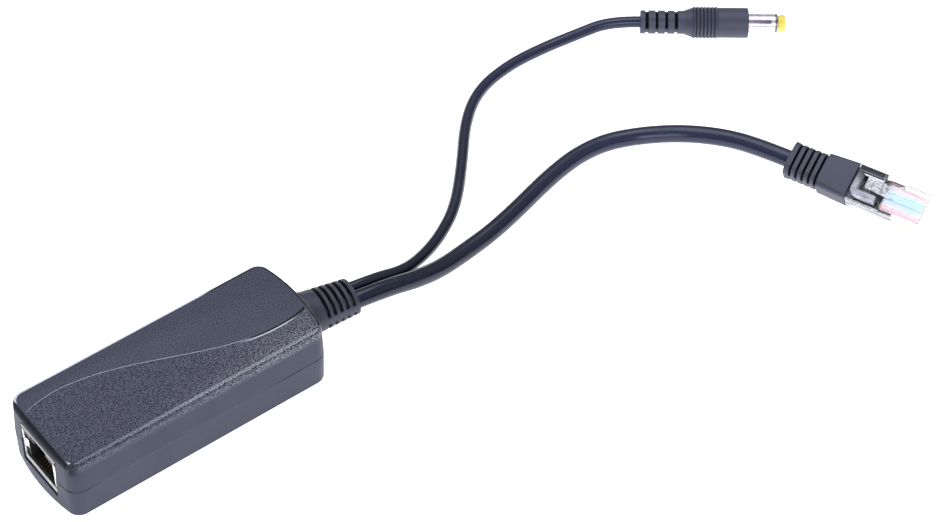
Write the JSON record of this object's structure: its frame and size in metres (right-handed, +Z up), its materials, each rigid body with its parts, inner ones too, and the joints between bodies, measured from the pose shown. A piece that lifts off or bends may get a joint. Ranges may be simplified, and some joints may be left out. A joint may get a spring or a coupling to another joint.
{
  "type": "inline poe converter",
  "caption": "Small inline converter that splits power and data from one network cable, with a data jack in one end, a data cable with a plug and a power cable with a barrel plug.",
  "frame": {"origin": "middle of the case's underside, on the surface that it rests on", "axes": "+X along the case towards the cable end, +Z up, +Y across"},
  "size_m": [0.2656, 0.1241, 0.02],
  "materials": {
    "case_top": "spark-textured moulded plastic, dark blue-grey",
    "case_bottom": "spark-textured moulded plastic, dark blue-grey",
    "jack_shield": "bright nickel-plated folded sheet",
    "jack_body": "satin black moulded plastic",
    "gold_contacts": "gold-plated spring wire and blades",
    "circuit_board": "green solder mask on glass-fibre board",
    "component_black": "black moulded epoxy",
    "tinned_legs": "tinned copper",
    "chip_parts": "tan ceramic",
    "ferrite": "dark sintered ferrite",
    "winding": "yellow tape round the winding, plain bobbin",
    "capacitor_can": "aluminium can in dark shrink sleeve",
    "lead_insulation": "coloured wire insulation",
    "cable_jacket": "satin black cable jacket",
    "gland": "satin black overmoulding",
    "power_plug_body": "satin black overmoulding with fine rings",
    "plated_barrel": "bright nickel plating",
    "yellow_sleeve": "yellow moulded plastic",
    "clear_housing": "clear moulded polycarbonate",
    "plug_wires": "coloured wire insulation",
    "plug_boot": "satin black moulded boot"
  },
  "bodies": {
    "root": {"upper_case": "case_top", "lower_case": "case_bottom", "jack_shield": "jack_shield", "jack_body": "jack_body", "jack_contacts": "gold_contacts", "circuit_board": "circuit_board", "data_magnetics": "component_black", "bridge_rectifiers": "component_black", "controller_chip": "component_black", "output_diode": "component_black", "component_legs": "tinned_legs", "chip_parts": "chip_parts", "transformer_core": "ferrite", "transformer_winding": "winding", "output_inductor": "ferrite", "input_capacitor": "capacitor_can", "output_capacitor": "capacitor_can", "filter_capacitor": "capacitor_can", "data_leads": "lead_insulation", "power_leads": "lead_insulation", "data_cable_tail": "cable_jacket", "power_cable_tail": "cable_jacket", "cable_gland": "gland", "data_cable": "cable_jacket", "power_cable": "cable_jacket", "power_plug_body": "power_plug_body", "power_plug_barrel": "plated_barrel", "power_plug_sleeve": "yellow_sleeve", "power_plug_contact": "plated_barrel", "data_plug_housing": "clear_housing", "data_plug_contacts": "gold_contacts", "data_plug_wires": "plug_wires", "data_plug_jacket": "cable_jacket", "data_plug_boot": "plug_boot"}
  },
  "joints": []
}
